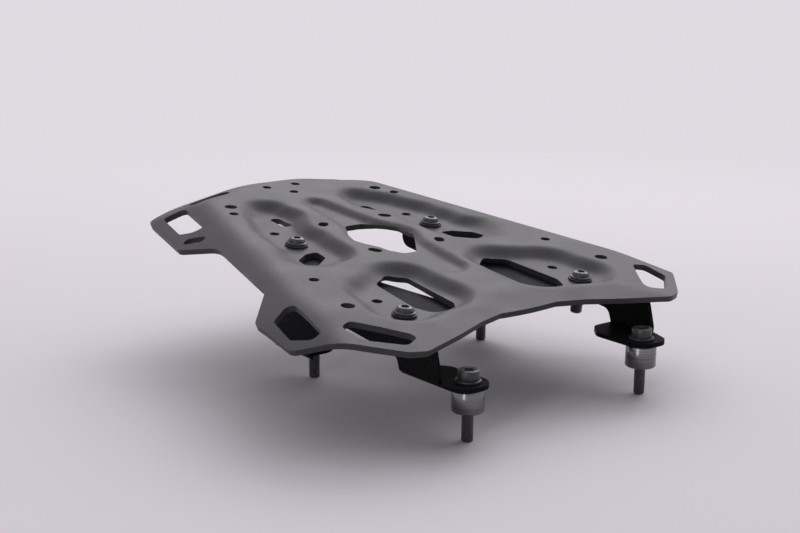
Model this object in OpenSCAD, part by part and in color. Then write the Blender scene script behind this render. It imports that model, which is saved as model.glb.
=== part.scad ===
// Luggage rack for a motorcycle: a pressed plate on two folded brackets.
// +X points to the left of the motorcycle, +Y to its rear and +Z up.
// The origin is the middle of the four foot bolts, halfway down the length that
// enters the frame of the motorcycle.
// The plate has a datum of its own, midway between the two rear plate screws.

/* [Mounting feet] */
// Distance between the left and right foot bolts
foot_width = 150; // [140:1:160]
// Distance between the front and rear foot bolts
foot_length = 155; // [150:1:160]
// Radius of a foot around its bolt
foot_r = 12; // [11:0.5:13]
// Height of the spacer under a front foot
spacer_h = 15; // [12:1:17]
// Diameter of the spacer
spacer_d = 20; // [18:1:24]
// Depth to which a foot bolt enters the frame of the motorcycle
bolt_reach = 19; // [15:1:25]

/* [Brackets] */
// Thickness of the bracket's steel
steel_t = 3; // [2.5:0.5:4]
// Outer radius of the folds
bend_r = 5; // [4.5:0.5:6]
// Distance from the foot bolt to the outer face of the web
web_offset = 18.5; // [17:0.5:20]
// Depth of the folded lip beside the rear plate screw
lip_h = 13; // [11:0.5:14]

/* [Plate] */
// Thickness of the plate
plate_t = 4; // [3:0.5:5]
// Slope of the plate, with its rear end up
plate_tilt = 6.6; // [6:0.1:8]
// Height of the plate's datum above the mounting plane
plate_rise = 68.5; // [67:0.5:74]
// Distance of the plate's datum behind the origin
plate_back = 118.5; // [116:0.5:121]
// Width across the rear ears
rear_width = 246; // [242:1:252]
// Width across the front ears
front_width = 325; // [318:1:332]
// Distance from the datum to the rear edge
rear_reach = 119; // [117:1:122]
// Distance from the datum to the front tips
front_reach = 195; // [193:1:199]

/* [Pressed relief] */
// Depth of the recesses that hold the plate screws
recess_depth = 7; // [6:0.5:9]
// Run of the sloping walls of the recesses
wall_run = 11; // [10:0.5:13]
// Depth of the valley down the middle
valley_depth = 4.5; // [3:0.5:6]
// Run of the walls of the valley
valley_run = 12; // [10:0.5:14]
// Slope of the flanks that carry the ears
flank_slope = 24; // [20:1:28]
// Slope of the nose along the front edge
nose_slope = 11; // [8:1:13]

/* [Openings in the plate] */
// Diameter of the small accessory holes
small_hole = 7; // [6:0.5:8]
// Diameter of the large accessory holes
large_hole = 9; // [8:0.5:10]
// Length of the oblong holes beside the middle window
oblong_len = 10; // [9:0.5:12]
// Length of the slots in the rear recesses
slot_len = 20; // [18:1:22]
// Width of the slots in the rear recesses
slot_w = 8; // [7:0.5:9]
// Diameter of the hole in the bracket under a front accessory hole
relief_d = 12; // [11:0.5:14]

/* [Plate screws] */
// Distance between the rear plate screws
rear_screws = 120; // [118:1:122]
// Distance between the front plate screws
front_screws = 153; // [151:1:155]
// Distance between the front and the rear plate screws
screw_pitch = 139; // [137:1:140]
// Diameter of all screws and bolts
bolt_d = 8; // [7:0.5:8]
// Length of the plate screws under the head
screw_len = 25; // [24:0.5:30]
// Clearance of a screw in its hole, on the diameter
hole_play = 1; // [0.6:0.1:1.2]
// Diameter of the washers
washer_d = 16; // [15:0.5:17]
// Thickness of the washers
washer_t = 1.6; // [1.2:0.1:2]

/* [Hidden] */
$fn = 48;
eps = 0.01;

left = 1;
right = -1;

// Places of the plate screws on the left side, from the plate's datum
rear_screw = [rear_screws / 2, 0];
front_screw = [front_screws / 2, -screw_pitch];
// Height of the mounting plane above the origin
seat_z = bolt_reach / 2;
// Places of the foot bolts on the left side, with the height of each foot
front_foot = [foot_width / 2, -foot_length / 2, seat_z + spacer_h];
rear_foot = [foot_width / 2, foot_length / 2, seat_z];

half_rear = rear_width / 2;
half_front = front_width / 2;
// Outer face of the web, which also clears the washers under the front plate screws
washer_gap = 1;
web_x = max(foot_width / 2 + web_offset, front_screws / 2 + washer_d / 2 + washer_gap + steel_t);
// Distances of the fold lines of the flanks and the nose from the datum
side_fold = half_rear - 25.4;
corner_fold = half_rear - 4;
rear_fold = rear_reach + 0.5;
nose_fold = front_reach - 63.5;
tip_fold = front_reach - 107;
pad_z = -recess_depth - plate_t;
grid = 7;
bore_d = bolt_d + hole_play;
thread_play = 0.1;
// The threaded ends of the foot bolts are plain, at the pitch diameter of the real thread
thread_r = bolt_d / 2 - 0.4;
// Length of full shank that enters the frame of the motorcycle before the thread starts
shank_entry = 2;
nut_h = 8;
nut_af = 13;

// Unit vector
function unit(v) = v / norm(v);
// Rise from 0 to 1 without a kink at either end
function ease(t) = let (c = min(1, max(0, t))) c * c * (3 - 2 * c);
// Smaller and larger of two lengths, blended over a width k
function soft_min(a, b, k) = let (h = max(0, k - abs(a - b)) / k) min(a, b) - h * h * k / 4;
function soft_max(a, b, k) = -soft_min(-a, -b, k);

// Arc that rounds the corner b between a and c
function corner(a, b, c, r) = r == 0 ? [b] :
    let (
        u = unit(a - b),
        v = unit(c - b),
        half = acos(u * v) / 2,
        centre = b + unit(u + v) * r / sin(half),
        from = b + u * r / tan(half) - centre,
        start = atan2(from.y, from.x),
        turn = -sign(cross(u, v)) * (180 - 2 * half),
        steps = max(2, ceil(abs(turn) / 15))
    )
    [for (i = [0:steps]) centre + r * [cos(start + turn * i / steps), sin(start + turn * i / steps)]];
// Closed outline whose corners [x, y, radius] are rounded
function rounded(pts) = let (n = len(pts)) [
    for (i = [0:n - 1])
        let (a = pts[(i + n - 1) % n], b = pts[i], c = pts[(i + 1) % n])
            each corner([a.x, a.y], [b.x, b.y], [c.x, c.y], b.z)
];

// Distance from p to a chain of round pads [x, y, radius], below 0 inside
function link_gap(p, a, b) =
    let (
        from = [a.x, a.y],
        run = [b.x, b.y] - from,
        h = min(1, max(0, (p - from) * run / (run * run)))
    )
    norm(p - from - run * h) - a.z - (b.z - a.z) * h;
function chain_gap(p, chain, i = 0) =
    i == len(chain) - 2 ? link_gap(p, chain[i], chain[i + 1]) :
    soft_min(link_gap(p, chain[i], chain[i + 1]), chain_gap(p, chain, i + 1), 3);

// Pads of the pressed relief, each chain on the left side
rear_chain = [
    [41, 69, 9], [46, 48, 14], [rear_screw.x - 1.5, rear_screw.y + 22, 14],
    [rear_screw.x - 1, rear_screw.y + 4, 14], [62, -31, 17]
];
front_chain = [
    [42, -90, 17.5], [72, -110, 20], [front_screw.x, front_screw.y + 4, 16],
    [43, -127, 18.5], [42, -90, 17.5]
];
valley_chain = [[0, 62, 1], [0, 12, 6], [0, -20, 18], [0, -48, 9], [0, -90, 5]];

// Height of a fold that starts r before its line and is straight r after it
function fold(d, r) = d <= -r ? 0 : d >= r ? d : (d + r) * (d + r) / (4 * r);
// Distance of p beyond the fold lines of the side and rear flanks
function flank_gap(p) = soft_max(
    soft_max(0.9675 * p.x + 0.2524 * p.y - side_fold, 0.72 * p.x + 0.69 * p.y - corner_fold, 2.5),
    0.4515 * p.x + 0.892 * p.y - rear_fold, 2.5);
// Distance of p beyond the fold line of the nose, which falls half as fast at the tips
function nose_gap(p) = soft_max(
    -0.303 * norm([p.x, 20]) - 0.953 * p.y - nose_fold, 0.3 * p.x - 0.4 * p.y - tip_fold, 3);
// Height of the plate's upper face above its datum
function height(x, y) =
    let (p = [abs(x), y])
    -recess_depth * ease(1 - chain_gap(p, rear_chain) / wall_run)
    - recess_depth * ease(1 - chain_gap(p, front_chain) / wall_run)
    - valley_depth * ease(1 - chain_gap(p, valley_chain) / valley_run)
    - tan(flank_slope) * fold(flank_gap(p), 8)
    - tan(nose_slope) * fold(nose_gap(p), 5);
// Direction square to the upper face
function square_to(x, y) = unit([
    height(x - 0.5, y) - height(x + 0.5, y),
    height(x, y - 0.5) - height(x, y + 0.5), 1]);

// Sheet of even thickness that follows the relief, wider than the plate
module pressed_sheet() {
    cols = ceil((half_front + 8) / grid);
    // A row runs just in front of the front washers, where the recess floor is flat
    first = front_screw.y - washer_d / 2 - 1;
    y0 = first - grid * ceil((front_reach + 8 + first) / grid);
    rows = ceil((rear_reach + 8 - y0) / grid);
    top = [for (j = [0:rows]) for (i = [-cols:cols])
        [i * grid, y0 + j * grid, height(i * grid, y0 + j * grid)]];
    under = [for (p = top) p - plate_t * square_to(p.x, p.y)];
    w = 2 * cols + 1;
    n = len(top);
    faces = [
        for (j = [0:rows - 1]) for (i = [0:w - 2]) let (a = j * w + i, b = a + w)
            each (i < cols ? [
                [a, b, a + 1], [a + 1, b, b + 1],
                [n + a, n + a + 1, n + b], [n + a + 1, n + b + 1, n + b]
            ] : [
                [a, b, b + 1], [a, b + 1, a + 1],
                [n + a, n + b + 1, n + b], [n + a, n + a + 1, n + b + 1]
            ]),
        for (i = [0:w - 2]) let (a = i, b = rows * w + i)
            each [[a, a + 1, n + a + 1, n + a], [b, n + b, n + b + 1, b + 1]],
        for (j = [0:rows - 1]) let (a = j * w, b = a + w - 1)
            each [[a, n + a, n + a + w, a + w], [b, b + w, n + b + w, n + b]]
    ];
    polyhedron(concat(top, under), faces, convexity = 8);
}

// Outline of the plate on the left side, from the rear edge round to the front
outline_half = [
    [94, rear_reach - 1.5, 12], [half_rear - 12, 114.5, 14], [half_rear + 2.5, 46.5, 9],
    [113, 18, 22], [114.8, 8, 30], [129.5, -67, 22], [half_front - 12, -88, 12],
    [half_front + 1, -140, 12], [141, -165, 8], [127, -180, 14],
    [115.5, -front_reach + 3, 7], [105, -front_reach - 1, 8], [69, -184, 25],
    [45, -175, 15], [24, -169.5, 8]
];
module outline() {
    mirrored = [for (i = [len(outline_half) - 1:-1:0])
        [-outline_half[i].x, outline_half[i].y, outline_half[i].z]];
    polygon(rounded(concat([[40, rear_reach, 60]], outline_half, mirrored, [[-40, rear_reach, 60]])));
}

// Slot of length len and width w, with its long way along the angle
module slot(at, len, w, angle) {
    translate(at) rotate(angle) {
        square([len - w, w], center = true);
        for (s = [-1, 1]) translate([s * (len - w) / 2, 0]) circle(d = w);
    }
}

// Small accessory holes on the left side
small_holes = [[13, 107], [72.7, 60], [59.4, 27.6], [101.5, -78], [76.7, -112]];
large_holes = [[65.7, 75], [110, -125]];
module holes_half() {
    for (p = small_holes) translate(p) circle(d = small_hole);
    for (p = large_holes) translate(p) circle(d = large_hole);
    for (p = [rear_screw, front_screw]) translate(p) circle(d = bore_d);
    slot([27.6, 14.2], oblong_len, small_hole, -40);
    slot([28.5, -46.8], oblong_len, small_hole, 60);
    slot([40.5, 47.5], slot_len, slot_w, 90);
}

// Windows on the left side
module windows_half() {
    // Six-sided window in the rear recess
    polygon(rounded([
        [55, -17, 2.5], [64, -18, 3], [75.5, -27, 3], [77.5, -38.5, 2.5], [71, -41, 3], [57, -30, 3]
    ]));
    // Window in the front recess
    polygon(rounded([
        [34.5, -89, 5], [45.5, -79, 6], [58.5, -87, 7], [62.5, -131, 8],
        [58, -142, 5], [49, -146, 5], [38.5, -143, 4], [33.5, -136, 5]
    ]));
    // Slot beside the front ear
    polygon(rounded([
        [111, -158.5, 20], [122.5, -143.5, 4], [131.5, -147, 5], [131, -166.5, 5],
        [111, -185, 5], [100, -180, 4], [100.5, -174, 4]
    ]));
    // Window in the front ear
    polygon(rounded([[132, -95, 4], [150, -106, 5], [156, -137, 5], [147, -147, 5], [140.5, -142, 4]]));
    // Window in the rear ear
    polygon(rounded([[104, 104.5, 4], [88.5, 101.5, 4], [98.5, 57, 4], [107, 59, 5], [112.5, 67, 4]]));
    // Slots in the side and rear flanks
    slot([110, 48], 14, 6.5, 55);
    slot([64, 106.5], 36, 8, -8);
}

module middle_window() {
    polygon(rounded([
        [-7.5, 11, 5], [7.5, 11, 5], [22, -11.5, 6], [24.5, -27, 6],
        [5.5, -54.5, 5], [-5.5, -54.5, 5], [-24.5, -27, 6], [-22, -11.5, 6]
    ]));
}

// Carries the plate and what is bolted to it into the frame of the rack
module on_plate() {
    translate([0, plate_back, seat_z + plate_rise]) rotate([plate_tilt, 0, 0]) children();
}

module rack_plate() {
    color("#3b3b3e") on_plate() intersection() {
        pressed_sheet();
        translate([0, 0, -60]) linear_extrude(80) difference() {
            outline();
            middle_window();
            translate([0, 90]) circle(d = small_hole);
            for (s = [0, 1]) mirror([s, 0]) {
                holes_half();
                windows_half();
            }
        }
    }
}

// Place in the side view of a point of the plate's side view
function to_side(y, z) = [
    plate_back + y * cos(plate_tilt) - z * sin(plate_tilt),
    seat_z + plate_rise + y * sin(plate_tilt) + z * cos(plate_tilt)];

// Outer rounding of a fold that runs along Y, to be cut away
module fold_cut(y0, y1) {
    translate([-bend_r, y0, 0]) difference() {
        cube([bend_r + eps, y1 - y0, bend_r + eps]);
        rotate([-90, 0, 0]) translate([0, 0, -1]) cylinder(r = bend_r, h = y1 - y0 + 2);
    }
}

// Inner rounding of a fold that runs along Y, to be added
module fold_fill(y0, y1) {
    r = bend_r - steel_t;
    translate([-r, y0, -r]) difference() {
        cube([r, y1 - y0, r]);
        rotate([-90, 0, 0]) translate([0, 0, -1]) cylinder(r = r, h = y1 - y0 + 2);
    }
}

// Upright web of the bracket, seen from the side
module web_outline() {
    top = pad_z;
    rear_top = to_side(rear_screw.y + 16, top);
    mid_top = to_side(front_screw.y - 14, top);
    nose_low = to_side(front_screw.y - 22, top + 3);
    nose_top = to_side(front_screw.y - 49, top + 2);
    foot_front = front_foot.y + 6;
    foot_back = front_foot.y + 41;
    leg = rear_foot.y;
    low = rear_foot.z;
    tail_low = to_side(rear_screw.y + 14, top - 12);
    leg_top = to_side(rear_screw.y - 16, top - 14);
    polygon(rounded([
        [rear_top.x, rear_top.y, 5], [mid_top.x, mid_top.y, 4],
        [nose_low.x, nose_low.y, 4], [nose_top.x, nose_top.y, 3],
        [foot_front, front_foot.z + 7, 6], [foot_front, front_foot.z, 0],
        [foot_back, front_foot.z, 0], [foot_back + 4, front_foot.z + 11, 6],
        [leg - 50, low + 33, 20], [leg - 21, low + 12, 12], [leg - 20, low, 0],
        [leg + 20, low, 0], [leg + 21, low + 12, 30], [leg_top.x, leg_top.y, 14],
        [tail_low.x, tail_low.y, 6]
    ]));
}

// Flange under the plate, seen from above, which shows in the windows of the recesses
module flange_outline() {
    a = rear_screw;
    c = front_screw;
    difference() {
        polygon(rounded([
            [a.x - 15, a.y + 15, 8], [a.x - 15, -77, 12], [c.x - 37, -93, 30], [c.x - 46.5, -122, 20],
            [c.x - 43, c.y - 2, 8], [c.x - 13, c.y - 14, 12],
            [web_x, c.y - 14, 0], [web_x, a.y + 15, 0]
        ]));
        translate(small_holes[4]) circle(d = relief_d);
    }
}

// Foot turned inward from the web, seen from above
module foot_outline(foot, front, back) {
    polygon(rounded([
        [web_x, foot.y + back, 0], [web_x, foot.y + front, 0],
        [foot.x + foot_r, foot.y - foot_r, foot_r * 0.8], [foot.x - foot_r, foot.y - foot_r, foot_r * 0.95],
        [foot.x - foot_r, foot.y + max(14, back - 12), 9], [foot.x - 2, foot.y + back, 9]
    ]));
}

module bracket_side() {
    bottom = -steel_t;
    difference() {
        union() {
            difference() {
                union() {
                    translate([web_x - steel_t, 0, 0]) rotate([90, 0, 90])
                        linear_extrude(steel_t) web_outline();
                    on_plate() translate([0, 0, pad_z - steel_t]) linear_extrude(steel_t) flange_outline();
                    translate([0, 0, front_foot.z]) linear_extrude(steel_t) foot_outline(front_foot, 6, 41);
                    translate([0, 0, rear_foot.z]) linear_extrude(steel_t) foot_outline(rear_foot, -20, 20);
                }
                on_plate() translate([web_x, 0, pad_z - bend_r]) fold_cut(front_screw.y - 14, 40);
                for (f = [front_foot, rear_foot])
                    translate([web_x, 0, f.z + bend_r]) mirror([0, 0, 1]) fold_cut(f.y - 21, f.y + 42);
            }
            on_plate() translate([web_x - steel_t, 0, pad_z - steel_t])
                fold_fill(front_screw.y - 14, rear_screw.y + 8);
            // Lip folded down beside the rear plate screw
            on_plate() lip();
        }
        for (p = [rear_screw, front_screw])
            on_plate() translate([p.x, p.y, pad_z - 2 * steel_t]) cylinder(d = bore_d, h = 3 * steel_t);
        for (f = [front_foot, rear_foot])
            translate([f.x, f.y, f.z - 1]) cylinder(d = bore_d, h = steel_t + 2);
    }
}

// Lip of the flange under the plate, seen in the middle window
module lip() {
    inner = rear_screw.x - 15;
    difference() {
        translate([inner, 0, 0]) rotate([90, 0, 90]) linear_extrude(steel_t) polygon(rounded([
            [rear_screw.y + 13, pad_z, 2], [rear_screw.y + 13, pad_z - lip_h, 8],
            [rear_screw.y - 12, pad_z - lip_h, 4], [rear_screw.y - 12, pad_z, 0]
        ]));
        translate([inner, 0, pad_z - bend_r]) mirror([1, 0, 0]) fold_cut(-20, 20);
    }
}

module bracket(side) {
    color("#1d1d20") scale([side, 1, 1]) bracket_side();
}

// Puts a piece of the plate's screw joint in place, h above the recess floor
module at_screw(p, side, h) {
    on_plate() translate([side * p.x, p.y, h - recess_depth]) children();
}

module at_foot(f, side, h) {
    translate([side * f.x, f.y, f.z + h]) children();
}

// Screw shank that hangs down from the seat of its head
module shank(len) {
    r = bolt_d / 2;
    rotate_extrude() polygon([[0, 0], [r, 0], [r, 0.8 - len], [r - 0.8, -len], [0, -len]]);
}

// Round head with a flange and a hexagonal socket
module plate_screw() {
    flange_r = 7.3;
    neck_r = 5.9;
    head_h = 4.9;
    step_h = 2.9;
    color("#222225") difference() {
        union() {
            rotate_extrude() polygon(concat(
                [[0, 0], [flange_r, 0], [flange_r, 0.9], [flange_r - 0.4, 1.3], [neck_r + 0.2, 1.6]],
                [[neck_r, 1.8], [neck_r, step_h - 0.2], [neck_r - 0.2, step_h]],
                [for (a = [0:15:90]) [2.6 + (neck_r - 2.9) * cos(a), step_h + (head_h - step_h) * sin(a)]],
                [[0, head_h]]));
            shank(screw_len);
        }
        translate([0, 0, head_h - 3]) cylinder(d = 5 / cos(30), h = 4, $fn = 6);
    }
}

// Low cylindrical head with a hexagonal socket, over a shank with a thinner threaded end
module foot_bolt(len) {
    head_r = 6.5;
    head_h = 6;
    shank_r = bolt_d / 2;
    thread_top = bolt_reach - shank_entry - len;
    color("#222225") difference() {
        rotate_extrude() polygon([[0, -len], [thread_r - 0.8, -len], [thread_r, 0.8 - len],
            [thread_r, thread_top], [shank_r, thread_top], [shank_r, 0], [head_r, 0],
            [head_r, head_h - 0.6], [head_r - 0.6, head_h], [0, head_h]]);
        translate([0, 0, head_h - 4]) cylinder(d = 6 / cos(30), h = 5, $fn = 6);
    }
}

module washer() {
    color("#2a2a2d") difference() {
        cylinder(d = washer_d, h = washer_t);
        translate([0, 0, -1]) cylinder(d = bolt_d + 0.4, h = washer_t + 2);
    }
}

// Hexagonal lock nut that hangs below its seat, with its collar at the bottom
module lock_nut() {
    tip_r = nut_af / 2 / cos(30);
    collar_h = 1.5;
    color("#2a2a2d") difference() {
        union() {
            intersection() {
                translate([0, 0, collar_h - nut_h]) cylinder(r = tip_r, h = nut_h - collar_h, $fn = 6);
                rotate_extrude() polygon([[0, collar_h - nut_h], [tip_r - 1, collar_h - nut_h],
                    [tip_r, collar_h - nut_h + 0.7], [tip_r, -0.7], [tip_r - 1, 0], [0, 0]]);
            }
            translate([0, 0, -nut_h]) cylinder(r = nut_af / 2 - 1, h = nut_h);
        }
        translate([0, 0, -nut_h - 1]) cylinder(d = bolt_d + thread_play, h = nut_h + 2);
    }
}

module spacer(side) {
    r = spacer_d / 2;
    inner = bore_d / 2;
    edge = 0.6;
    color("#b9bcc0") translate([side * front_foot.x, front_foot.y, seat_z]) rotate_extrude() polygon([
        [inner + edge, 0], [r - edge, 0], [r, edge], [r, spacer_h - edge], [r - edge, spacer_h],
        [inner + edge, spacer_h], [inner, spacer_h - edge], [inner, edge]
    ]);
}

module screw_at(p, side) at_screw(p, side, washer_t) plate_screw();
module washer_at(p, side) at_screw(p, side, 0) washer();
module under_washer_at(p, side) at_screw(p, side, -plate_t - steel_t - washer_t) washer();
module nut_at(p, side) at_screw(p, side, -plate_t - steel_t - washer_t) lock_nut();
module foot_bolt_at(f, side) at_foot(f, side, steel_t + washer_t)
    foot_bolt(f.z - seat_z + steel_t + washer_t + bolt_reach);
module foot_washer_at(f, side) at_foot(f, side, steel_t) washer();

rack_plate();
bracket(left);  // bracket_left
bracket(right);  // bracket_right
screw_at(rear_screw, left);  // plate_screw_rear_left
screw_at(rear_screw, right);  // plate_screw_rear_right
screw_at(front_screw, left);  // plate_screw_front_left
screw_at(front_screw, right);  // plate_screw_front_right
washer_at(rear_screw, left);  // plate_washer_rear_left
washer_at(rear_screw, right);  // plate_washer_rear_right
washer_at(front_screw, left);  // plate_washer_front_left
washer_at(front_screw, right);  // plate_washer_front_right
under_washer_at(rear_screw, left);  // under_washer_rear_left
under_washer_at(rear_screw, right);  // under_washer_rear_right
under_washer_at(front_screw, left);  // under_washer_front_left
under_washer_at(front_screw, right);  // under_washer_front_right
nut_at(rear_screw, left);  // lock_nut_rear_left
nut_at(rear_screw, right);  // lock_nut_rear_right
nut_at(front_screw, left);  // lock_nut_front_left
nut_at(front_screw, right);  // lock_nut_front_right
foot_bolt_at(rear_foot, left);  // foot_bolt_rear_left
foot_bolt_at(rear_foot, right);  // foot_bolt_rear_right
foot_bolt_at(front_foot, left);  // foot_bolt_front_left
foot_bolt_at(front_foot, right);  // foot_bolt_front_right
foot_washer_at(rear_foot, left);  // foot_washer_rear_left
foot_washer_at(rear_foot, right);  // foot_washer_rear_right
foot_washer_at(front_foot, left);  // foot_washer_front_left
foot_washer_at(front_foot, right);  // foot_washer_front_right
spacer(left);  // spacer_left
spacer(right);  // spacer_right
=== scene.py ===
# %% [markdown]
# # A pressed luggage rack
# The rack is a sheet of coated metal with recesses pressed into it, screwed to two folded steel
# brackets. The brackets stand on bolted feet. The imported model gives every piece its place, and
# this lesson gives the pieces their rounded edges and their finish.
#
# The frame comes first. Every node of the imported model arrives as a fixed object in metres.

# %% Load the frame
import math

import bmesh
import bpy
from mathutils import Matrix, Vector
from mathutils.geometry import delaunay_2d_cdt
from mathutils.kdtree import KDTree


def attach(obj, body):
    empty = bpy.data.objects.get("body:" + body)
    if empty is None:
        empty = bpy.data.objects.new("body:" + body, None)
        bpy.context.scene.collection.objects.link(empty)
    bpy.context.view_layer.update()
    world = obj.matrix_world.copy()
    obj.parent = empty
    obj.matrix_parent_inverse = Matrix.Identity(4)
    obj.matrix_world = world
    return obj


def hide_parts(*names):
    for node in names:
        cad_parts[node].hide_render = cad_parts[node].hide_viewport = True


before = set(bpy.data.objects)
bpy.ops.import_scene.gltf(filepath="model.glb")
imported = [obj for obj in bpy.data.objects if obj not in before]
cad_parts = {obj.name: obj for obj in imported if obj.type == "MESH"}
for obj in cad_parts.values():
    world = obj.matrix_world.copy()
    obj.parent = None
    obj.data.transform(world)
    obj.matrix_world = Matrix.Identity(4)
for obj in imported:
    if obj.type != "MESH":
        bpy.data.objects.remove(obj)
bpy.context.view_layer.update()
MM = 0.001

# %% [markdown]
# The plate slopes up to the rear, while the feet stand level. All sizes of the plate are given in
# its own frame, whose datum lies midway between the two rear plate screws. One matrix carries
# them into the frame of the rack. The brackets and the bolts stay in the level frame.

# %% The frame of the plate
SEAT_Z = 9.5
PLATE_TILT = math.radians(6.6)
PLATE_BACK = 118.5
PLATE_RISE = SEAT_Z + 68.5
PLATE_T = 4.0
STEEL_T = 3.0
RECESS_DEPTH = 7.0
WASHER_T = 1.6
SPACER_H = 15.0
to_rack = Matrix.Translation((0, PLATE_BACK, PLATE_RISE)) @ Matrix.Rotation(PLATE_TILT, 4, "X")
to_metres = Matrix.Scale(MM, 4)
REAR_SCREW = (60.0, 0.0)
FRONT_SCREW = (76.5, -139.0)
FRONT_FOOT = (75.0, -77.5, SEAT_Z + SPACER_H)
REAR_FOOT = (75.0, 77.5, SEAT_Z)
SIDES = (("left", 1), ("right", -1))
ENDS = (("rear", REAR_SCREW, REAR_FOOT), ("front", FRONT_SCREW, FRONT_FOOT))
print("plate datum:", to_metres @ to_rack @ Vector((0, 0, 0)))

# %% [markdown]
# The camera stands as in the photo, in front of the rack and to its right, a little above it. Its
# place and its turn were fitted to the holes of the plate, which come in mirror pairs. It is made
# first, so that each test render shows the view that counts.

# %% Camera
CAMERA_AT = Vector((-0.6385, -0.705, 0.3012))
CAMERA_HEADING = math.radians(39.12)
CAMERA_DOWN = math.radians(13.65)
CAMERA_ROLL = math.radians(0.8)
camera_data = bpy.data.cameras.new("camera")
camera_data.lens = 67.5
camera_data.sensor_width = 36
camera = bpy.data.objects.new("camera", camera_data)
camera.location = CAMERA_AT
camera.rotation_euler = (
    Matrix.Rotation(-CAMERA_HEADING, 3, "Z")
    @ Matrix.Rotation(math.pi / 2 - CAMERA_DOWN, 3, "X")
    @ Matrix.Rotation(CAMERA_ROLL, 3, "Z")
).to_euler()
bpy.context.scene.collection.objects.link(camera)
bpy.context.scene.camera = camera
print("camera at", camera.location)

# %% [markdown]
# ## The pressed relief
# A press pushes the flat sheet down into recesses with sloping walls. Each recess is a chain of
# round pads, and the depth at a point depends only on its distance from the chain. An ease curve
# turns that distance into a wall without a kink at either end, as drawn metal has. The relief could
# be sculpted or drawn as curves too, but a formula gives both sheet faces and every hole one height.

# %% Distance and ease


def ease(t):
    t = min(1.0, max(0.0, t))
    return t * t * t * (t * (6 * t - 15) + 10)


def soft_min(a, b, k):
    h = max(0.0, k - abs(a - b)) / k
    return min(a, b) - h * h * k / 4


def soft_max(a, b, k):
    return -soft_min(-a, -b, k)


def chain_gap(x, y, pads):
    """Distance from a point to a chain of round pads, below 0 inside it."""
    gap = None
    for (ax, ay, ar), (bx, by, br) in zip(pads, pads[1:]):
        run_x, run_y = bx - ax, by - ay
        h = ((x - ax) * run_x + (y - ay) * run_y) / (run_x * run_x + run_y * run_y)
        h = min(1.0, max(0.0, h))
        link = math.hypot(x - ax - run_x * h, y - ay - run_y * h) - ar - (br - ar) * h
        gap = link if gap is None else soft_min(link, gap, 3)
    return gap


def fold(d, r):
    """Height of a fold that starts r before its line and is straight r after it."""
    if d <= -r:
        return 0.0
    return d if d >= r else (d + r) ** 2 / (4 * r)


print("ease half way up a wall:", ease(0.5))

# %% [markdown]
# The plate has five of these chains, counting both sides: a recess at each corner and a shallow
# valley down the middle. Outside of the recesses the flanks and the nose are folded down along a
# few lines, which meet in soft corners. Beside the six-sided windows the outer wall is gentler, as
# its even tone in the photo shows.

# %% Height of the plate
WALL_RUN = 20.0
OUTER_RUN = 12.0
VALLEY_DEPTH = 4.3
VALLEY_RUN = 13.5
FLANK_SLOPE = math.tan(math.radians(24))
FLANK_FOLD = 8
FLANK_LINES = [(0.9675, 0.2524, 97.6), (0.72, 0.69, 119), (0.4515, 0.892, 119.5)]
NOSE_SLOPE = math.tan(math.radians(11))
NOSE_FOLD = 5
REAR_PADS = [(42, 66, 2), (46, 50, 8), (58.5, 22, 7), (60, 1, 9), (63, -30, 10)]
FRONT_PADS = [(43, -92, 8), (70, -110, 11), (76.5, -137, 10), (44, -128, 11), (43, -92, 8)]
VALLEY_PADS = [(0, 62, 1), (0, 12, 6), (0, -20, 18), (0, -48, 9), (0, -90, 5)]


def flank_gap(x, y):
    """Distance beyond the lines along which the flanks fold, below 0 on the crown."""
    gap = None
    for share_x, share_y, start in FLANK_LINES:
        line = share_x * x + share_y * y - start
        gap = line if gap is None else soft_max(gap, line, 2.5)
    return gap


def nose_gap(x, y):
    """Distance beyond the bowed line of the nose and the line from it to the ear."""
    return soft_max(-0.303 * math.hypot(x, 20) - 0.953 * y - 131.5, 0.3 * x - 0.4 * y - 88, 3)


def plate_height(x, y):
    x = abs(x)
    rear_run = WALL_RUN + OUTER_RUN * ease((x - 62) / 20) * ease((-4 - y) / 24)
    return (
        -RECESS_DEPTH * ease(1 - chain_gap(x, y, REAR_PADS) / rear_run)
        - RECESS_DEPTH * ease(1 - chain_gap(x, y, FRONT_PADS) / WALL_RUN)
        - VALLEY_DEPTH * ease(1 - chain_gap(x, y, VALLEY_PADS) / VALLEY_RUN)
        - FLANK_SLOPE * fold(flank_gap(x, y), FLANK_FOLD)
        - NOSE_SLOPE * fold(nose_gap(x, y), NOSE_FOLD)
    )


print("height at a plate screw:", plate_height(*REAR_SCREW))

# %% [markdown]
# ## The blank
# Before pressing, the sheet is cut flat: one outline and all its openings. Each shape is given by
# its corners and the radius of each corner. A helper replaces a corner by an arc and puts points
# along the straight stretches too, because the edge has to follow the relief later.

# %% Rounded shapes
EDGE_STEP = 1.6


def rounded(corners, step=EDGE_STEP):
    """Points along a closed shape whose corners are (x, y, radius)."""
    path = []
    for i, (bx, by, r) in enumerate(corners):
        b = Vector((bx, by))
        to_a = (Vector(corners[i - 1][:2]) - b).normalized()
        to_c = (Vector(corners[(i + 1) % len(corners)][:2]) - b).normalized()
        half = to_a.angle(to_c) / 2
        centre = b + (to_a + to_c).normalized() * r / math.sin(half)
        start = b + to_a * r / math.tan(half) - centre
        side = -1 if to_a.x * to_c.y - to_a.y * to_c.x > 0 else 1
        turn = side * (math.pi - 2 * half)
        count = max(2, round(abs(turn) * r / step))
        first = math.atan2(start.y, start.x)
        path += [
            centre + r * Vector((math.cos(first + turn * k / count), math.sin(first + turn * k / count)))
            for k in range(count + 1)
        ]
    points = []
    for a, b in zip(path, path[1:] + path[:1]):
        parts = max(1, round((b - a).length / step))
        points += [a.lerp(b, k / parts) for k in range(parts)]
    return points


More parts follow.
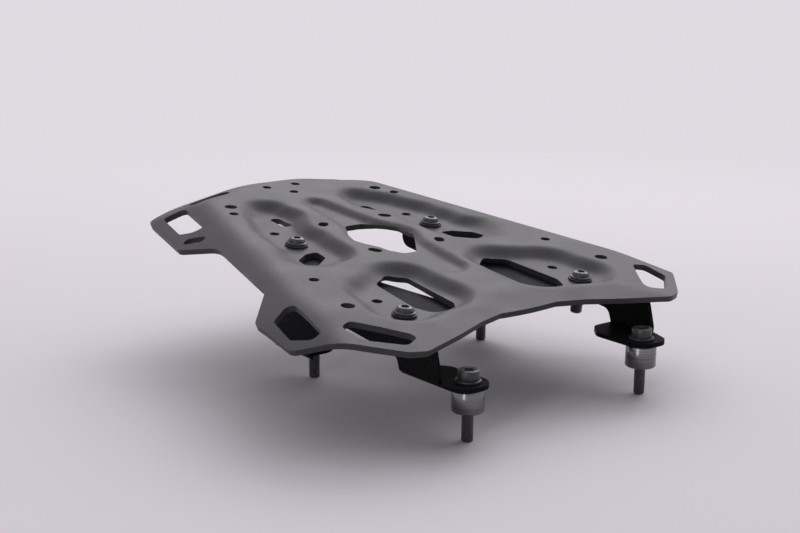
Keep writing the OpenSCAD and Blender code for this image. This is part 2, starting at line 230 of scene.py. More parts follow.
print("points round a 10 mm square:", len(rounded([(0, 0, 2), (10, 0, 2), (10, 10, 2), (0, 10, 2)])))

# %% [markdown]
# The accessory holes are round and the strap slots have round ends. Both are loops of points like
# the outline, so that one net can take them all. A slot is a rounded shape whose corners have
# nearly half its width as their radius. The plate is the same on both sides, so each opening is
# given once and mirrored.

# %% Holes and slots


def round_hole(x, y, d, step=1.1):
    count = max(16, round(math.pi * d / step))
    return [
        Vector((x + d / 2 * math.cos(math.tau * k / count), y + d / 2 * math.sin(math.tau * k / count)))
        for k in range(count)
    ]


def slot(x, y, length, width, angle):
    """A straight slot with round ends."""
    a = math.radians(angle)
    along = Vector((math.cos(a), math.sin(a)))
    across = Vector((-along.y, along.x)) * width / 2
    ends = along * length / 2
    middle = Vector((x, y))
    r = width / 2 * 0.999
    corners = [middle - ends - across, middle + ends - across]
    corners += [middle + ends + across, middle - ends + across]
    return rounded([(c.x, c.y, r) for c in corners], 1.2)


def mirrored(points):
    return [Vector((-p.x, p.y)) for p in reversed(points)]


print("points round a 7 mm hole:", len(round_hole(0, 0, 7)))

# %% [markdown]
# The outline is drawn for the left side and mirrored. From the rear edge it runs round the rear
# ear, in to the waist, out to the front ear and back along the nose.

# %% Outline and openings of the blank
SMALL_HOLE = 7.0
LARGE_HOLE = 9.0
SCREW_HOLE = 9.0
OUTLINE_HALF = [
    (94, 117.5, 12), (111, 114.5, 14), (125.5, 46.5, 9), (113, 18, 22), (114.8, 8, 30),
    (133, -70, 18), (158, -97, 10), (162.7, -141.5, 9), (141, -165, 8), (127, -180, 14),
    (115.5, -192, 7), (105, -196, 8), (69, -184, 25), (45, -175, 15), (24, -169.5, 8),
]
outline = rounded(
    [(40, 119, 60)] + OUTLINE_HALF + [(-x, y, r) for x, y, r in reversed(OUTLINE_HALF)] + [(-40, 119, 60)]
)
middle_window = rounded([
    (-7.5, 15, 5), (7.5, 15, 5), (22, -8, 6), (24.5, -23.5, 6),
    (5.5, -51, 5), (-5.5, -51, 5), (-24.5, -23.5, 6), (-22, -8, 6),
])
side_openings = [
    rounded([(55, -17, 2.5), (65, -18, 3), (77.5, -27, 3), (79.5, -38.5, 2.5), (71, -41, 3), (57, -30, 3)]),
    rounded([
        (31.5, -86.5, 5), (43, -77, 6), (58.5, -87, 7), (62.5, -131, 8),
        (58, -142, 5), (49, -146, 5), (38.5, -143, 4), (33.5, -136, 5),
    ]),
    rounded([
        (111, -158.5, 20), (122.5, -143.5, 4), (131.5, -147, 5), (131, -166.5, 5),
        (111, -185, 5), (100, -180, 4), (100.5, -174, 4),
    ]),
    rounded([(133.5, -98, 4), (151.3, -106.5, 5), (156.8, -132.5, 4), (150, -145.5, 4), (142.8, -144, 3)]),
    rounded([(104, 104.5, 4), (88.5, 101.5, 4), (98.5, 57, 4), (107, 59, 5), (112.5, 67, 4)]),
    slot(113, 46.5, 15.5, 7.6, 56),
    slot(64, 106.5, 36, 8, -8),
    slot(27.6, 14.2, 10, SMALL_HOLE, -40),
    slot(28.5, -46.8, 10, SMALL_HOLE, 60),
    slot(40.5, 47.5, 20, 8, 90),
]
for x, y in [(13, 107), (72.7, 60), (59.4, 27.6), (101.5, -78), (76.7, -112)]:
    side_openings.append(round_hole(x, y, SMALL_HOLE))
for x, y in [(65.7, 75), (110, -125)]:
    side_openings.append(round_hole(x, y, LARGE_HOLE))
for x, y in [REAR_SCREW, FRONT_SCREW]:
    side_openings.append(round_hole(x, y, SCREW_HOLE))
openings = [middle_window, round_hole(0, 90, SMALL_HOLE)]
openings += side_openings + [mirrored(s) for s in side_openings]
print("outline points:", len(outline), "openings:", len(openings))

# %% [markdown]
# ## The sheet
# A relief this soft needs an even net of small faces right up to the cut edges. A boolean on a
# grid would leave slivers along every edge, and filling the loops would leave long thin faces
# across the plate. A constrained triangulation takes the loops and an even field of points
# between them, and joins them into well shaped triangles, so it is used here. First come the test
# for a point in the metal and a tree that finds the nearest rim.

# %% Metal and rims


def inside(px, py, loops):
    """True where a point lies inside an odd number of the loops."""
    odd = False
    for (x0, x1, y0, y1), loop in loops:
        if not (x0 < px < x1 and y0 < py < y1):
            continue
        ax, ay = loop[-1]
        for bx, by in loop:
            if (ay > py) != (by > py) and px < (bx - ax) * (py - ay) / (by - ay) + ax:
                odd = not odd
            ax, ay = bx, by
    return odd


def boxed(loop):
    xs = [p.x for p in loop]
    ys = [p.y for p in loop]
    return (min(xs), max(xs), min(ys), max(ys)), [(p.x, p.y) for p in loop]


all_loops = [outline] + openings
boxed_loops = [boxed(s) for s in all_loops]
rim_points = [p for s in all_loops for p in s]
tree = KDTree(len(rim_points))
for i, p in enumerate(rim_points):
    tree.insert((p.x, p.y, 0), i)
tree.balance()
print("rim points:", len(rim_points))

# %% [markdown]
# The bevel that rounds the cut edges later slides along the edges of the net, so it stays clean
# only where the faces at a rim are even. A row of points beside each rim sees to that. Where two
# rows come close, a point is left out if another one stands within CROWD of it. Further in, the
# points stand in staggered rows, as the centres of a honeycomb.

# %% Points between the rims
STRIP = 1.7
CROWD = 0.8
FIELD_STEP = 2.3
ROW_RISE = 0.866


def beside(loop, gap):
    """Points at an even gap from a loop, on both of its sides."""
    out = []
    for i, p in enumerate(loop):
        along = (loop[(i + 1) % len(loop)] - loop[i - 1]).normalized()
        across = Vector((along.y, -along.x)) * gap
        out += [p + across, p - across]
    return out


def rim_rows():
    kept = {}
    rows = []
    for p in [q for loop in all_loops for q in beside(loop, STRIP)]:
        i, j = round(p.x), round(p.y)
        crowd = [q for u in (-1, 0, 1) for v in (-1, 0, 1) for q in kept.get((i + u, j + v), [])]
        if tree.find((p.x, p.y, 0))[2] < STRIP - 0.15 or not inside(p.x, p.y, boxed_loops):
            continue
        if all((p - q).length > CROWD for q in crowd):
            kept.setdefault((i, j), []).append(p)
            rows.append(p)
    return rows


def staggered_rows():
    (x_low, x_high, y_low, y_high), _ = boxed_loops[0]
    points = []
    for j in range(int((y_high - y_low) / (FIELD_STEP * ROW_RISE)) + 1):
        y = y_low + j * FIELD_STEP * ROW_RISE
        x = x_low + (j % 2) * FIELD_STEP / 2
        while x < x_high:
            if tree.find((x, y, 0))[2] > STRIP + 1.2 and inside(x, y, boxed_loops):
                points.append(Vector((x, y)))
            x += FIELD_STEP
    return points


field = rim_rows() + staggered_rows()
print("field points:", len(field))

# %% [markdown]
# The triangulation works on the whole area inside the outline, so the faces that fill an opening
# are left out by asking for the middle of each face. What remains is the blank as it leaves the
# cutter, still flat.

# %% Flat net


def flat_net(bm):
    edges = []
    start = 0
    for loop in all_loops:
        n = len(loop)
        edges += [(start + k, start + (k + 1) % n) for k in range(n)]
        start += n
    coords, _, faces, *_ = delaunay_2d_cdt(rim_points + field, edges, [], 1, 1e-5)
    verts = [bm.verts.new((c.x, c.y, 0)) for c in coords]
    for face in faces:
        middle = sum((coords[k] for k in face), Vector((0, 0))) / len(face)
        if inside(middle.x, middle.y, boxed_loops):
            bm.faces.new([verts[k] for k in face])
    bmesh.ops.delete(bm, geom=[v for v in bm.verts if not v.link_faces], context="VERTS")
    bmesh.ops.recalc_face_normals(bm, faces=bm.faces[:])
    if sum(f.normal.z for f in bm.faces) < 0:
        bmesh.ops.reverse_faces(bm, faces=bm.faces[:])


print("loops in the net:", len(all_loops))

# %% [markdown]
# The flat net becomes a sheet in the order of the real workshop: the net is pressed by moving
# each point to the height of the relief, and solidify then gives it an even thickness below. Last,
# the edges left by the cutter are rounded with a bevel, as blasting and coating leave them. How far
# any point lies from the middle of the sheet is printed, because a fault in a loop shows there as a
# spike.

# %% Press the sheet
EDGE_ROUND = 0.9


def sharp_edges(bm, degrees):
    limit = math.radians(degrees)
    return [e for e in bm.edges if e.is_manifold and e.calc_face_angle() > limit]


def press_sheet():
    bm = bmesh.new()
    flat_net(bm)
    for v in bm.verts:
        v.co.z = plate_height(v.co.x, v.co.y)
    bm.normal_update()
    bmesh.ops.solidify(bm, geom=bm.faces[:], thickness=PLATE_T)
    bm.normal_update()
    bmesh.ops.bevel(
        bm, geom=sharp_edges(bm, 50), affect="EDGES", offset=EDGE_ROUND, offset_type="OFFSET",
        segments=3, profile=0.5, material=-1, clamp_overlap=True,
    )
    drift = max(abs(v.co.z + PLATE_T / 2 - plate_height(v.co.x, v.co.y)) for v in bm.verts)
    print("farthest point from the middle of the sheet:", round(drift, 2), "mm")
    bm.transform(to_metres @ to_rack)
    return bm


plate_mesh = press_sheet()

# %% [markdown]
# A finished bmesh becomes a piece in three steps that are the same for all of them: it gets a mesh
# and an object at the origin, rides on the rack's only body, and stands for the nodes that it
# replaces. The plate also gets weighted normals, so that the narrow bevel doesn't bend the shading
# of the wide faces beside it.

# %% Make the plate a piece


def linked_object(name, bm):
    mesh = bpy.data.meshes.new(name)
    bm.to_mesh(mesh)
    bm.free()
    made = bpy.data.objects.new(name, mesh)
    bpy.context.scene.collection.objects.link(made)
    return made


def new_piece(name, bm, nodes):
    """Turns a bmesh into a piece that rides on the rack and stands for its nodes."""
    piece = linked_object(name, bm)
    for polygon in piece.data.polygons:
        polygon.use_smooth = True
    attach(piece, "root")
    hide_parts(*nodes)
    return piece


def even_shading(piece):
    """Lets the large faces rule the shading beside a narrow bevel."""
    weights = piece.modifiers.new("even_shading", "WEIGHTED_NORMAL")
    weights.weight = 50
    weights.keep_sharp = True


pressed_plate = new_piece("pressed_plate", plate_mesh, ["rack_plate"])
even_shading(pressed_plate)
print("pressed plate faces:", len(pressed_plate.data.polygons))

# %% [markdown]
# ## Turned pieces
# Spacers and screws come off a lathe, and a stamped washer is as round as they are. A profile
# drawn as a few points is spun round its axis, which closes into a clean ring of quads. Cylinders
# with a bevel would do for the washers, but the spun profile also carries the steps of a head.

# %% Spin a profile
TURN_STEPS = 64


def turned(profile):
    """Spins (radius, height) points round Z and joins what meets on the axis."""
    bm = bmesh.new()
    verts = [bm.verts.new((r, 0, z)) for r, z in profile]
    edges = [bm.edges.new(pair) for pair in zip(verts, verts[1:])]
    bmesh.ops.spin(
        bm, geom=verts + edges, cent=(0, 0, 0), axis=(0, 0, 1), angle=math.tau,
        steps=TURN_STEPS, use_merge=True, dvec=(0, 0, 0),
    )
    bmesh.ops.remove_doubles(bm, verts=bm.verts[:], dist=1e-5)
    bmesh.ops.recalc_face_normals(bm, faces=bm.faces[:])
    return bm


def chamfered(points, size):
    """A closed profile with each of its corners cut back by size."""
    out = []
    for i, p in enumerate(points):
        p = Vector(p)
        for q in (points[i - 1], points[(i + 1) % len(points)]):
            out.append(tuple(p + (Vector(q) - p).normalized() * size))
    return out


print("corners of a chamfered square:", len(chamfered([(0, 0), (1, 0), (1, 1), (0, 1)], 0.1)))

# %% [markdown]
# Everything on a plate screw stands square to the sloping plate, and everything on a foot bolt
# stands upright. A piece is made at the origin in millimetres, and one matrix carries it to its
# place. The mesh is moved rather than the object, so that all pieces keep their origin in the frame
# of the rack.

# %% Places of the fasteners


def placed(bm, matrix):
    bm.transform(to_metres @ matrix)
    return bm


def screw_seat(spot, side, height):
    """Where a piece of a plate screw sits, height above the floor of its recess."""
    return to_rack @ Matrix.Translation((side * spot[0], spot[1], height - RECESS_DEPTH))


def foot_seat(foot, side, height):
    return Matrix.Translation((side * foot[0], foot[1], foot[2] + height))


print("seat of the left rear screw:", screw_seat(REAR_SCREW, 1, 0).translation)

# %% [markdown]
# A washer is a plain ring, stamped from sheet, so its edges are a little round. The spacer under a
# front foot is turned from bar and has a broader chamfer at both ends.

# %% Washers and spacers
BOLT_D = 8.0
WASHER_D = 16.0
WASHER_PLAY = 0.2
WASHER_EDGE = 0.22
SPACER_D = 20.0
SPACER_BORE = 9.0
SPACER_EDGE = 0.6


def ring(inner, outer, height, edge):
    square = [(inner, 0), (outer, 0), (outer, height), (inner, height)]
    profile = chamfered(square, edge)
    return turned(profile + profile[:1])


washers = []
spacers = []
for name, side in SIDES:
    for end, spot, foot in ENDS:
        for kind, seat in (
            ("plate_washer", screw_seat(spot, side, 0)),
            ("under_washer", screw_seat(spot, side, -PLATE_T - STEEL_T - WASHER_T)),
            ("foot_washer", foot_seat(foot, side, STEEL_T)),
        ):
            node = f"{kind}_{end}_{name}"
            bm = placed(ring(BOLT_D / 2 + WASHER_PLAY, WASHER_D / 2, WASHER_T, WASHER_EDGE), seat)
            washers.append(new_piece(node + "_ring", bm, [node]))
    bm = ring(SPACER_BORE / 2, SPACER_D / 2, SPACER_H, SPACER_EDGE)
    bm = placed(bm, foot_seat(FRONT_FOOT, side, -SPACER_H))
    spacers.append(new_piece(f"spacer_{name}_turned", bm, [f"spacer_{name}"]))
print("washers:", len(washers), "spacers:", len(spacers))

# %% [markdown]
# ## Screw heads
# A head is turned first and its hexagonal socket is punched after. The same is done here, with a
# hexagonal prism as the punch. A socket could be part of the spun profile only if it were round.

# %% Hexagonal punch


def hexagon(across_flats, low, high):
    bm = bmesh.new()
    corner = across_flats / 2 / math.cos(math.pi / 6)
    made = bmesh.ops.create_circle(bm, cap_ends=True, segments=6, radius=corner)
    bmesh.ops.translate(bm, verts=made["verts"], vec=(0, 0, low))
    top = bmesh.ops.extrude_face_region(bm, geom=bm.faces[:])
    moved = [g for g in top["geom"] if isinstance(g, bmesh.types.BMVert)]
    bmesh.ops.translate(bm, verts=moved, vec=(0, 0, high - low))
    bmesh.ops.recalc_face_normals(bm, faces=bm.faces[:])
    return bm


print("triangles of a hexagonal punch:", len(hexagon(5, 0, 1).calc_loop_triangles()))

# %% [markdown]
# A Boolean modifier takes the punch out of the head, and a fine bevel rounds the rim of the socket.
# The modifiers are worked out at once and the two helper objects removed, so that the piece is an
# ordinary mesh and nothing else stays in the scene.

# %% Punch and round


def cut_and_bevel(name, bm, cutter_bm, width):
    """Cuts one closed shape out of another, rounds the sharp edges and returns a bmesh."""
    body = linked_object(name, bm)
    cutter = linked_object(name + "_cutter", cutter_bm)
    cut = body.modifiers.new("cut", "BOOLEAN")
    cut.operation = "DIFFERENCE"
    cut.solver = "EXACT"
    cut.object = cutter
    edge = body.modifiers.new("edge", "BEVEL")
    edge.width = width
    edge.segments = 2
    edge.limit_method = "ANGLE"
    edge.angle_limit = math.radians(38)
    bpy.context.view_layer.update()
    result = bmesh.new()
    result.from_object(body, bpy.context.evaluated_depsgraph_get())
    for made in (body, cutter):
        mesh = made.data
        bpy.data.objects.remove(made)
        bpy.data.meshes.remove(mesh)
    return result


# %% [markdown]
# A plate screw has a stepped round head over a wide flange, so that it doesn't dig into the coat.
# The shank hangs below the seat of the head, with a chamfer at its tip.

# %% Plate screws
HEAD_H = 4.3
STEP_H = 2.5
FLANGE_R = 7.3
NECK_R = 5.9
SCREW_LEN = 25.0
SCREW_SOCKET = 5.0


def shank_profile(length, radius):
    return [(radius, 0.0), (radius, 0.8 - length), (radius - 0.8, -length), (0.0, -length)]


def flanged_head(flange_r, neck_r):
    """Profile of a stepped round head over its flange, from the axis down to the seat."""
    arc = []
    for a in range(90, -1, -10):
        out, up = math.cos(math.radians(a)), math.sin(math.radians(a))
        arc.append((2.6 + (neck_r - 2.9) * out, STEP_H + (HEAD_H - STEP_H) * up))
    step = [(neck_r - 0.12, STEP_H - 0.03), (neck_r, STEP_H - 0.2), (neck_r, 1.8), (neck_r + 0.2, 1.6)]
    flange = [(flange_r - 0.4, 1.3), (flange_r - 0.1, 1.15), (flange_r, 0.9), (flange_r, 0.0)]
    return [(0.0, HEAD_H)] + arc + step + flange


def plate_screw():
    body = turned(flanged_head(FLANGE_R, NECK_R) + shank_profile(SCREW_LEN, BOLT_D / 2))
    return cut_and_bevel("screw", body, hexagon(SCREW_SOCKET, HEAD_H - 3, HEAD_H + 2), 0.15)


print("height of a screw head:", HEAD_H, "mm")

# %% [markdown]
# A foot bolt has a low cylindrical head. It goes through its washer and foot, and in front through
# the spacer too, and on into a threaded insert. Its thread is far too fine to be seen at this
# distance, so it is a plain cylinder of the diameter at half the depth of the thread.

# %% Foot bolts
BOLT_HEAD_H = 6.0
BOLT_SOCKET = 6.0
BOLT_REACH = 19.0
SHANK_ENTRY = 2.0
THREAD_R = 3.6


def foot_bolt(length):
    """A low cylindrical head, a full shank, and the thread from SHANK_ENTRY below the mounting plane."""
    top = BOLT_HEAD_H
    head = [(0.0, top), (5.8, top), (6.3, 5.82), (6.5, 5.4), (6.5, 0.2), (6.3, 0.0)]
    neck = BOLT_REACH - SHANK_ENTRY - length
    shank = [(BOLT_D / 2, 0.0), (BOLT_D / 2, neck), (THREAD_R, neck - 0.3)]
    body = turned(head + shank + shank_profile(length, THREAD_R)[1:])
    return cut_and_bevel("bolt", body, hexagon(BOLT_SOCKET, BOLT_HEAD_H - 4, BOLT_HEAD_H + 2), 0.18)


print("height of a bolt head:", BOLT_HEAD_H, "mm")

# %% [markdown]
# The screws go through the plate and the flange of the bracket into the nuts. The rear foot bolts
# are shorter than the front ones, because no spacer lies under the rear feet.

# %% Place the screws and bolts
fasteners = []
for name, side in SIDES:
    for end, spot, foot in ENDS:
        node = f"plate_screw_{end}_{name}"
        bm = placed(plate_screw(), screw_seat(spot, side, WASHER_T))
        fasteners.append(new_piece(node + "_body", bm, [node]))
        node = f"foot_bolt_{end}_{name}"
        length = foot[2] - SEAT_Z + STEEL_T + WASHER_T + BOLT_REACH
        bm = placed(foot_bolt(length), foot_seat(foot, side, STEEL_T + WASHER_T))
        fasteners.append(new_piece(node + "_body", bm, [node]))
print("screws and bolts:", len(fasteners))

# %% [markdown]
# ## Lock nuts
# The nuts hang under the brackets. Each one is a hexagon whose corners are turned off at both
# ends, with a narrower collar that holds the locking ring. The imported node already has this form,
# so the piece starts as a copy of it. Its loose triangles are merged and its edges rounded.

# %% Nuts


def softened(node, width, angle=30):
    """A bmesh copy of a node with its flat faces joined and its edges rounded, width in metres."""
    bm = bmesh.new()
    bm.from_mesh(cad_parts[node].data)
    bmesh.ops.remove_doubles(bm, verts=bm.verts[:], dist=2e-6)
    bmesh.ops.dissolve_limit(bm, angle_limit=math.radians(1), verts=bm.verts[:], edges=bm.edges[:])
    bm.normal_update()
    bmesh.ops.bevel(
        bm, geom=sharp_edges(bm, angle), affect="EDGES", offset=width, offset_type="OFFSET",
        segments=2, profile=0.5, material=-1, clamp_overlap=True,
    )
    return bm


nuts = []
for name, side in SIDES:
    for end in ("rear", "front"):
        node = f"lock_nut_{end}_{name}"
        nuts.append(new_piece(node + "_body", softened(node, 0.12 * MM), [node]))
print("nuts:", len(nuts))

# %% [markdown]
# ## Brackets
# Each bracket is cut from one steel sheet and folded twice: the flange under the plate is folded
# off the top of the upright web, and the two feet are folded off its lower ends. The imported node
# has the folds, so the same helper softens a copy of it. Bending a strip here would only place the
# folds a second time. The cut edges are rounder than those of a nut.

# %% Brackets
brackets = []
for name, side in SIDES:
    node = f"bracket_{name}"
    piece = new_piece(node + "_folded", softened(node, 0.45 * MM, 35), [node])
    even_shading(piece)
    brackets.append(piece)
print("brackets:", len(brackets))

# %% [markdown]
# ## Finishes
# One effect is shared by several finishes, so it is a node group: the fine grain of a baked powder
# coat or a phosphate layer, which is a bump from fine noise and a roughness that wanders a little
# over the surface with a broader noise. A picture of a coat would need an unwrapped mesh, while
# these patterns read Object coordinates in metres, so a grain of half a millimetre has a scale of
# about 2000.

# %% Grain group


def group_socket(group, name, kind, way, value=None):
    made = group.interface.new_socket(name=name, in_out=way, socket_type=kind)
    if value is not None:
        made.default_value = value
    return made


def make_grain_group():
    group = bpy.data.node_groups.new("coat_grain", "ShaderNodeTree")
    group_socket(group, "Grain Scale", "NodeSocketFloat", "INPUT", 1500.0)
    group_socket(group, "Grain Depth", "NodeSocketFloat", "INPUT", 0.00003)
    group_socket(group, "Roughness Low", "NodeSocketFloat", "INPUT", 0.4)
    group_socket(group, "Roughness High", "NodeSocketFloat", "INPUT", 0.5)
    group_socket(group, "Roughness", "NodeSocketFloat", "OUTPUT")
    group_socket(group, "Normal", "NodeSocketVector", "OUTPUT")
    nodes, links = group.nodes, group.links
    enter = nodes.new("NodeGroupInput")
    leave = nodes.new("NodeGroupOutput")
    place = nodes.new("ShaderNodeTexCoord")
    fine = nodes.new("ShaderNodeTexNoise")
    fine.inputs["Detail"].default_value = 2.0
    fine.inputs["Roughness"].default_value = 0.6
    broad = nodes.new("ShaderNodeTexNoise")
    broad.inputs["Scale"].default_value = 38.0
    broad.inputs["Detail"].default_value = 3.0
    bump = nodes.new("ShaderNodeBump")
    bump.inputs["Strength"].default_value = 1.0
    span = nodes.new("ShaderNodeMapRange")
    links.new(place.outputs["Object"], fine.inputs["Vector"])
    links.new(place.outputs["Object"], broad.inputs["Vector"])
    links.new(enter.outputs["Grain Scale"], fine.inputs["Scale"])
    links.new(fine.outputs["Fac"], bump.inputs["Height"])
    links.new(enter.outputs["Grain Depth"], bump.inputs["Distance"])
    links.new(broad.outputs["Fac"], span.inputs["Value"])
    span.inputs["From Min"].default_value = 0.3
    span.inputs["From Max"].default_value = 0.7
    links.new(enter.outputs["Roughness Low"], span.inputs["To Min"])
    links.new(enter.outputs["Roughness High"], span.inputs["To Max"])
    links.new(span.outputs["Result"], leave.inputs["Roughness"])
    links.new(bump.outputs["Normal"], leave.inputs["Normal"])
    return group


grain_group = make_grain_group()
print("group:", grain_group.name)

# %% [markdown]
# A coated finish is a dark base under a satin skin. Most of what the eye sees on the plate is the
# pale studio mirrored at a low angle, so the base stays dark and the gloss does the work: the
# crown looks grey while the walls that face the viewer stay nearly black.

# %% Coated finishes


def coated(name, dark, light, rough_low, rough_high, grain, depth, specular=0.25):
    material = bpy.data.materials.new(name)
    material.use_nodes = True
    nodes, links = material.node_tree.nodes, material.node_tree.links
    shader = nodes["Principled BSDF"]
    shader.inputs["Specular IOR Level"].default_value = specular
    skin = nodes.new("ShaderNodeGroup")
    skin.node_tree = grain_group
    skin.inputs["Grain Scale"].default_value = grain
    skin.inputs["Grain Depth"].default_value = depth
    skin.inputs["Roughness Low"].default_value = rough_low
    skin.inputs["Roughness High"].default_value = rough_high
    place = nodes.new("ShaderNodeTexCoord")
    speckle = nodes.new("ShaderNodeTexNoise")
    speckle.inputs["Scale"].default_value = grain * 0.6
    speckle.inputs["Detail"].default_value = 2.0
    ramp = nodes.new("ShaderNodeValToRGB")
    ramp.color_ramp.elements[0].position = 0.35
    ramp.color_ramp.elements[1].position = 0.65
    ramp.color_ramp.elements[0].color = (*dark, 1)
    ramp.color_ramp.elements[1].color = (*light, 1)
    links.new(place.outputs["Object"], speckle.inputs["Vector"])
    links.new(speckle.outputs["Fac"], ramp.inputs["Fac"])
    links.new(ramp.outputs["Color"], shader.inputs["Base Color"])
    links.new(skin.outputs["Roughness"], shader.inputs["Roughness"])
    links.new(skin.outputs["Normal"], shader.inputs["Normal"])
    return material


dark, light = (0.066, 0.065, 0.072), (0.084, 0.083, 0.091)
plate_coat = coated("plate_coat", dark, light, 0.42, 0.5, 1500, 0.00003)
dark, light = (0.009, 0.009, 0.01), (0.018, 0.018, 0.02)
bracket_coat = coated("bracket_coat", dark, light, 0.34, 0.44, 1100, 0.00004, 0.02)
dark, light = (0.04, 0.04, 0.042), (0.065, 0.065, 0.07)
screw_coat = coated("screw_coat", dark, light, 0.24, 0.34, 900, 0.00002, 0.5)
dark, light = (0.035, 0.035, 0.038), (0.055, 0.055, 0.06)
washer_coat = coated("washer_coat", dark, light, 0.3, 0.42, 900, 0.00002, 0.4)
print("coats:", [m.name for m in (plate_coat, bracket_coat, screw_coat, washer_coat)])

# %% [markdown]
# The spacer is bare metal from the lathe. The tool leaves fine rings round it, which spread a
# highlight upward and downward. Noise that is squeezed along Z gives the rings, as a change of
# colour and roughness and as a very shallow bump. Both ring colours are far darker than bare
# metal: painted shade that stands for dark surroundings mirrored in the spacer.

# %% Turned metal


def turned_metal_painted_reflection():
    material = bpy.data.materials.new("turned_metal_painted_reflection")
    material.use_nodes = True
    nodes, links = material.node_tree.nodes, material.node_tree.links
    shader = nodes["Principled BSDF"]
    shader.inputs["Metallic"].default_value = 1.0
    place = nodes.new("ShaderNodeTexCoord")
    squeeze = nodes.new("ShaderNodeMapping")
    squeeze.inputs["Scale"].default_value = (6, 6, 2600)
    rings = nodes.new("ShaderNodeTexNoise")
    rings.inputs["Scale"].default_value = 1.0
    rings.inputs["Detail"].default_value = 3.0
    ramp = nodes.new("ShaderNodeValToRGB")
    ramp.color_ramp.elements[0].position = 0.3
    ramp.color_ramp.elements[1].position = 0.7
    # Painted reflection: both colours are kept dark to stand for dark surroundings mirrored in the metal.
    ramp.color_ramp.elements[0].color = (0.12, 0.12, 0.127, 1)
    ramp.color_ramp.elements[1].color = (0.22, 0.222, 0.232, 1)
    bump = nodes.new("ShaderNodeBump")
    bump.inputs["Distance"].default_value = 0.00003
    rough = nodes.new("ShaderNodeMapRange")
    rough.inputs["To Min"].default_value = 0.2
    rough.inputs["To Max"].default_value = 0.3
    links.new(place.outputs["Object"], squeeze.inputs["Vector"])
    links.new(squeeze.outputs["Vector"], rings.inputs["Vector"])
    links.new(rings.outputs["Fac"], ramp.inputs["Fac"])
    links.new(rings.outputs["Fac"], bump.inputs["Height"])
    links.new(rings.outputs["Fac"], rough.inputs["Value"])
    links.new(ramp.outputs["Color"], shader.inputs["Base Color"])
    links.new(rough.outputs["Result"], shader.inputs["Roughness"])
    links.new(bump.outputs["Normal"], shader.inputs["Normal"])
    return material


spacer_metal_painted_reflection = turned_metal_painted_reflection()
print("finish:", spacer_metal_painted_reflection.name)

# %% [markdown]
# Each piece has one finish all over, as it comes out of its own bath or booth. The finish goes on
# the mesh, so one short helper is enough for all of them.

# %% Give the pieces their finish


def finish_with(pieces, material):
    for piece in pieces:
        piece.data.materials.clear()
        piece.data.materials.append(material)


finish_with([pressed_plate], plate_coat)
finish_with(brackets, bracket_coat)
finish_with(fasteners + nuts, screw_coat)
finish_with(washers, washer_coat)
finish_with(spacers, spacer_metal_painted_reflection)
print("materials:", [m.name for m in bpy.data.materials])

# %% [markdown]
# ## Studio
# The photo has a plain pale background. A large painted wall would need much light to look even,
# so the floor and the world show the pale colour as it is written, to the camera and to mirrored
# rays only. One helper finds these rays, and the floor and the world both use it.

# %% Rays that are seen
BACKDROP = (0.745, 0.70, 0.755)


def seen_rays(nodes, links):
    """1 for a ray from the camera, or one that a gloss or a glass sends on, else 0."""
    rays = nodes.new("ShaderNodeLightPath")
    seen = rays.outputs["Is Camera Ray"]
    for name in ("Is Glossy Ray", "Is Transmission Ray"):
        either = nodes.new("ShaderNodeMath")
        either.operation = "MAXIMUM"
        links.new(seen, either.inputs[0])
        links.new(rays.outputs[name], either.inputs[1])
        seen = either.outputs[0]
    return seen


print("backdrop:", BACKDROP)

# %% [markdown]
# The rack stands on the tips of its four bolts on a plain pale floor. Round the rack the floor is
# painted and keeps the soft shadow. Further out it shows the colour of the backdrop, so that no
# horizon can be seen. Rays that aren't seen meet a darker paint, because a pale floor would light
# the walls of the recesses and the rims from below, while in the photo they are dark.

# %% Floor
FLOOR_Z = (SEAT_Z - BOLT_REACH) * MM
PAINT_SEEN = (0.83, 0.79, 0.835)
PAINT_UNSEEN = (0.42, 0.4, 0.42)
PAINT_END = 0.3
PLAIN_START = 1.1


def pale_floor():
    bm = bmesh.new()
    bmesh.ops.create_grid(bm, x_segments=1, y_segments=1, size=40)
    bmesh.ops.translate(bm, verts=bm.verts[:], vec=(0, 0, FLOOR_Z))
    floor = linked_object("floor", bm)
    material = bpy.data.materials.new("floor_paint")
    material.use_nodes = True
    nodes, links = material.node_tree.nodes, material.node_tree.links
    paint = nodes["Principled BSDF"]
    paint.inputs["Roughness"].default_value = 0.9
    paint.inputs["Specular IOR Level"].default_value = 0.1
    seen = seen_rays(nodes, links)
    tint = nodes.new("ShaderNodeMix")
    tint.data_type = "RGBA"
    tint.inputs["A"].default_value = (*PAINT_UNSEEN, 1)
    tint.inputs["B"].default_value = (*PAINT_SEEN, 1)
    links.new(seen, tint.inputs["Factor"])
    links.new(tint.outputs["Result"], paint.inputs["Base Color"])
    plain = nodes.new("ShaderNodeEmission")
    plain.inputs["Color"].default_value = (*BACKDROP, 1)
    place = nodes.new("ShaderNodeTexCoord")
    away = nodes.new("ShaderNodeVectorMath")
    away.operation = "LENGTH"
    far = nodes.new("ShaderNodeMapRange")
    far.interpolation_type = "SMOOTHSTEP"
    far.inputs["From Min"].default_value = PAINT_END
    far.inputs["From Max"].default_value = PLAIN_START
    both = nodes.new("ShaderNodeMath")
    both.operation = "MULTIPLY"
    mix = nodes.new("ShaderNodeMixShader")
    links.new(place.outputs["Object"], away.inputs[0])
    links.new(away.outputs["Value"], far.inputs["Value"])
    links.new(far.outputs["Result"], both.inputs[0])
    links.new(seen, both.inputs[1])
    links.new(both.outputs[0], mix.inputs["Fac"])
    links.new(paint.outputs[0], mix.inputs[1])
    links.new(plain.outputs[0], mix.inputs[2])
    links.new(mix.outputs[0], nodes["Material Output"].inputs["Surface"])
    floor.data.materials.append(material)
    return floor


pale_floor()
print("floor at", round(FLOOR_Z, 4), "m")

# %% [markdown]
# The world shows the same pale colour, and lights the rack as a studio with a large window behind
# it would: bright above and behind, dim on the side of the camera. That is why the walls of the
# recesses that face the viewer are much darker than the crown.

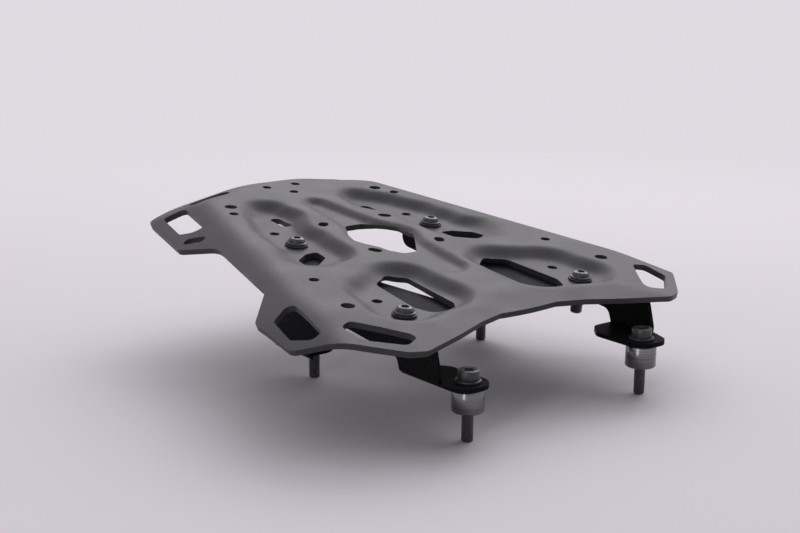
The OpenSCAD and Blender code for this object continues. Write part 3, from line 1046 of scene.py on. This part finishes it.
# %% World
WINDOW_WAY = Vector((0.68, 0.62, 0.42)).normalized()
WINDOW_TINT = (0.98, 0.96, 1.0)
WINDOW_LIGHT = 1.35
ROOM_LIGHT = 0.04


def pale_world():
    world = bpy.data.worlds.new("studio")
    bpy.context.scene.world = world
    world.use_nodes = True
    nodes, links = world.node_tree.nodes, world.node_tree.links
    nodes.clear()
    seen = nodes.new("ShaderNodeBackground")
    seen.inputs["Color"].default_value = (*BACKDROP, 1)
    lit = nodes.new("ShaderNodeBackground")
    lit.inputs["Color"].default_value = (*WINDOW_TINT, 1)
    way = nodes.new("ShaderNodeTexCoord")
    along = nodes.new("ShaderNodeVectorMath")
    along.operation = "DOT_PRODUCT"
    along.inputs[1].default_value = WINDOW_WAY
    glow = nodes.new("ShaderNodeMapRange")
    glow.interpolation_type = "SMOOTHSTEP"
    glow.inputs["From Min"].default_value = 0.0
    glow.inputs["From Max"].default_value = 0.95
    glow.inputs["To Min"].default_value = ROOM_LIGHT
    glow.inputs["To Max"].default_value = WINDOW_LIGHT
    mix = nodes.new("ShaderNodeMixShader")
    out = nodes.new("ShaderNodeOutputWorld")
    links.new(way.outputs["Generated"], along.inputs[0])
    links.new(along.outputs["Value"], glow.inputs["Value"])
    links.new(glow.outputs["Result"], lit.inputs["Strength"])
    links.new(seen_rays(nodes, links), mix.inputs["Fac"])
    links.new(lit.outputs[0], mix.inputs[1])
    links.new(seen.outputs[0], mix.inputs[2])
    links.new(mix.outputs[0], out.inputs["Surface"])


pale_world()
print("world:", bpy.context.scene.world.name)

# %% [markdown]
# One large lamp above and behind adds the soft shadow. A weak one on the left lifts the near ears,
# and a narrow upright one to the left of the camera gives the turned and rounded parts a faint
# highlight. The standard view transform shows the colours as they are written.

# %% Lamps
LAMP_TINT = (1.0, 0.98, 1.0)


def soft_lamp(name, at, aim, size, power):
    data = bpy.data.lights.new(name, "AREA")
    data.shape = "RECTANGLE"
    data.size, data.size_y = size
    data.energy = power
    data.color = LAMP_TINT
    lamp = bpy.data.objects.new(name, data)
    lamp.location = at
    lamp.rotation_euler = (Vector(aim) - Vector(at)).to_track_quat("-Z", "Y").to_euler()
    bpy.context.scene.collection.objects.link(lamp)
    return lamp


lamps = [
    soft_lamp("top_lamp", (1.2, 1.0, 1.3), (0, 0, 0.05), (1.7, 1.1), 16),
    soft_lamp("left_lamp", (-1.5, 0.7, 0.8), (0, 0, 0.05), (0.9, 0.9), 0.6),
    soft_lamp("strip_lamp", (-1.45, -0.62, 0.3), (0.07, -0.08, 0.02), (0.14, 0.9), 3.2),
]
bpy.context.scene.view_settings.view_transform = "Standard"
print("lamps:", [lamp.name for lamp in lamps])
